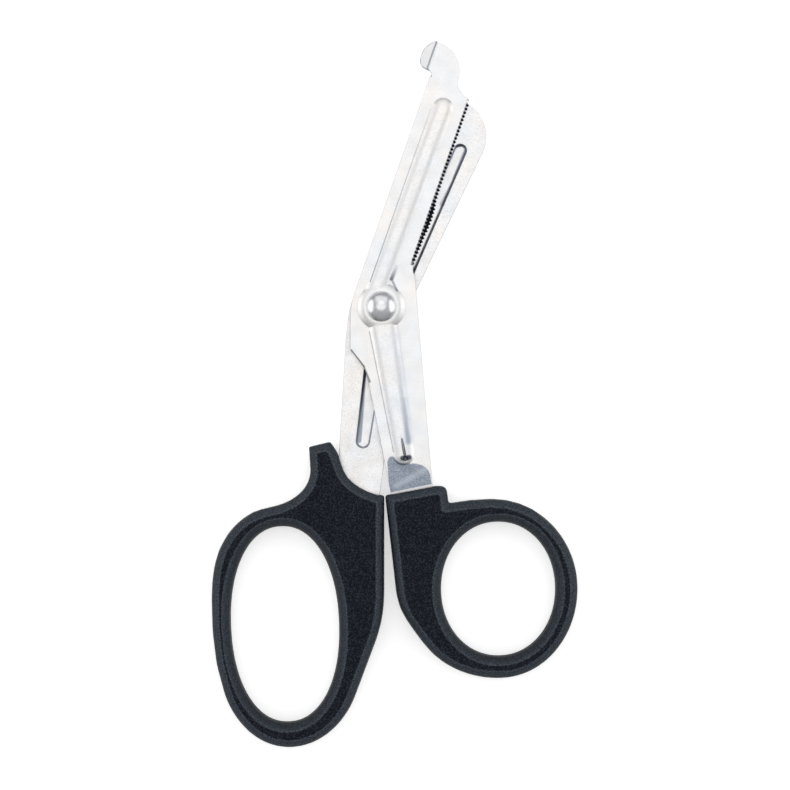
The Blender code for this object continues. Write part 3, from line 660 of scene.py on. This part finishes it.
def makeHandle(nodeName, pieceName, body):
    piece = mergedCopy(nodeName, pieceName)
    applyModifier(piece, "REMESH", mode="VOXEL", voxel_size=handles["faceSize"], adaptivity=0.0)
    rings = piece.vertex_groups.new(name="rings")
    low = [spot.index for spot in piece.data.vertices if spot.co.y < handles["ringsBelow"]]
    rings.add(low, 1.0, "REPLACE")
    applyModifier(piece, "SMOOTH", factor=handles["smoothFactor"],
                  iterations=handles["ringSmoothing"], use_z=False, vertex_group="rings")
    applyModifier(piece, "SMOOTH", factor=handles["smoothFactor"], iterations=handles["softening"])
    half = handles["lineHalfHeight"]

    def onLine(face):
        offset = abs(face.calc_center_median().z - matingHeight)
        return offset < half and abs(face.normal.z) < handles["wallWithin"]

    for height in (matingHeight - half, matingHeight + half):
        editAll(piece)
        bpy.ops.mesh.bisect(plane_co=(0.0, 0.0, height), plane_no=(0.0, 0.0, 1.0),
                            threshold=handles["cutWithin"])
        endEdit()
    editAll(piece)
    pickFaces(piece, onLine)
    bpy.ops.transform.shrink_fatten(value=handles["lineProud"])
    endEdit()
    smoothShade(piece, handles["shadeAngle"])
    fitPiece(piece, nodeName, body, plasticFinish)


makeHandle("thumb_handle", "thumb_loop", "front_half")
makeHandle("finger_handle", "finger_loop", "back_half")

# Rivet and washer: turned parts, made finer by subdivision with their corners kept
turnedParts = {"cornerAngle": 32, "cornerKeep": 0.85, "levels": 2}


def makeTurned(nodeName, pieceName):
    piece = mergedCopy(nodeName, pieceName)
    editAll(piece)
    bpy.ops.mesh.select_mode(type="EDGE")
    bpy.ops.mesh.select_all(action="DESELECT")
    bpy.ops.mesh.edges_select_sharp(sharpness=math.radians(turnedParts["cornerAngle"]))
    bpy.ops.transform.edge_crease(value=turnedParts["cornerKeep"])
    endEdit()
    levels = turnedParts["levels"]
    applyModifier(piece, "SUBSURF", levels=levels, render_levels=levels)
    smoothShade(piece, turnedParts["cornerAngle"])
    fitPiece(piece, nodeName, "back_half", rivetFinish)


makeTurned("pivot_rivet", "rivet")
makeTurned("rivet_washer", "washer")
print("pieces made")

# Table: matt white, with a lift that only the camera and mirroring surfaces see
tableLook = {
    "size": 3.0,
    "colour": (0.9, 0.9, 0.9, 1.0),
    "roughness": 0.9,
    "specular": 0.1,
    "liftColour": (1.0, 1.0, 1.0, 1.0),
    "lift": 0.52,
    "mirrored": 0.45,  # the share of the lift in reflections
}


def makeTable():
    bpy.ops.object.select_all(action="DESELECT")
    bpy.ops.mesh.primitive_plane_add(size=tableLook["size"], location=(0.0, 0.0, 0.0))
    table = bpy.context.object
    table.name = "table"
    made, tree, shader = newMaterial("white table")
    for label, key in (("Base Color", "colour"), ("Roughness", "roughness"),
                       ("Specular IOR Level", "specular"), ("Emission Color", "liftColour")):
        shader.inputs[label].default_value = tableLook[key]
    path = tree.nodes.new("ShaderNodeLightPath").outputs
    seen = calc(tree, "MULTIPLY_ADD", path["Is Glossy Ray"], tableLook["mirrored"],
                path["Is Camera Ray"])
    lift = calc(tree, "MULTIPLY", seen, tableLook["lift"])
    tree.links.new(lift, shader.inputs["Emission Strength"])
    table.data.materials.append(made)


# Room: a soft grey, darker near the floor and on the handles' side
roomLook = {
    "colour": (1.0, 1.0, 1.0, 1.0),
    "heightFade": (0.05, 0.6, 0.32, 0.54),
    "handleFade": (-0.75, 0.0, 0.85, 1.0),
    "seen": 1.0,
}


def makeRoom():
    world = bpy.data.worlds.new("studio")
    bpy.context.scene.world = world
    world.use_nodes = True
    tree = world.node_tree
    backdrop = tree.nodes["Background"]
    path = tree.nodes.new("ShaderNodeLightPath").outputs
    way = splitPlace(tree, "Generated")
    grey = product(tree, fade(tree, way["Z"], *roomLook["heightFade"]),
                   fade(tree, way["Y"], *roomLook["handleFade"]))
    strength = fade(tree, path["Is Camera Ray"], 0.0, 1.0, grey, roomLook["seen"])
    tree.links.new(strength, backdrop.inputs["Strength"])
    backdrop.inputs["Color"].default_value = roomLook["colour"]


lampLooks = {
    "overhead lamp": {"shape": "ELLIPSE", "size": (1.45, 1.30), "from": (0.0, 0.10, 1.3),
                      "radiance": 0.68},
    "left lamp": {"shape": "ELLIPSE", "size": (1.5, 0.92), "from": (-1.15, 0.08, 0.46),
                  "radiance": 1.08},
    "right lamp": {"shape": "ELLIPSE", "size": (1.5, 0.92), "from": (1.15, 0.08, 0.46),
                   "radiance": 1.08},
    "far lamp": {"shape": "RECTANGLE", "size": (1.7, 1.05), "from": (0.0, 1.0, 0.95),
                 "radiance": 0.52},
}
shapeShares = {"ELLIPSE": math.pi / 4, "RECTANGLE": 1.0}  # of width times height


def makeLamp(name, look):
    width, height = look["size"]
    place = Vector(look["from"])
    bpy.ops.object.light_add(type="AREA", location=place)
    lamp = bpy.context.object
    lamp.name = name
    lamp.data.shape = look["shape"]
    lamp.data.size, lamp.data.size_y = width, height
    area = width * height * shapeShares[look["shape"]]
    lamp.data.energy = look["radiance"] * math.pi * area
    lamp.rotation_euler = place.to_track_quat("Z", "Y").to_euler()


makeTable()
makeRoom()
for lampName, lampLook in lampLooks.items():
    makeLamp(lampName, lampLook)
print("table, room and lamps made")

# Camera: straight down on the whole object
cameraLook = {
    "centre": (3.6 * mm, -23.1 * mm),
    "frameWidth": 207.0 * mm,
    "lens": 135.0,
    "sensor": 36.0,
}


def makeCamera():
    distance = cameraLook["frameWidth"] * cameraLook["lens"] / cameraLook["sensor"]
    x, y = cameraLook["centre"]
    bpy.ops.object.camera_add(location=(x, y, matingHeight + distance), rotation=(0.0, 0.0, 0.0))
    camera = bpy.context.object
    camera.data.lens = cameraLook["lens"]
    camera.data.sensor_width = cameraLook["sensor"]
    bpy.context.scene.camera = camera


makeCamera()
bpy.context.scene.view_settings.view_transform = "Standard"
print("camera set")
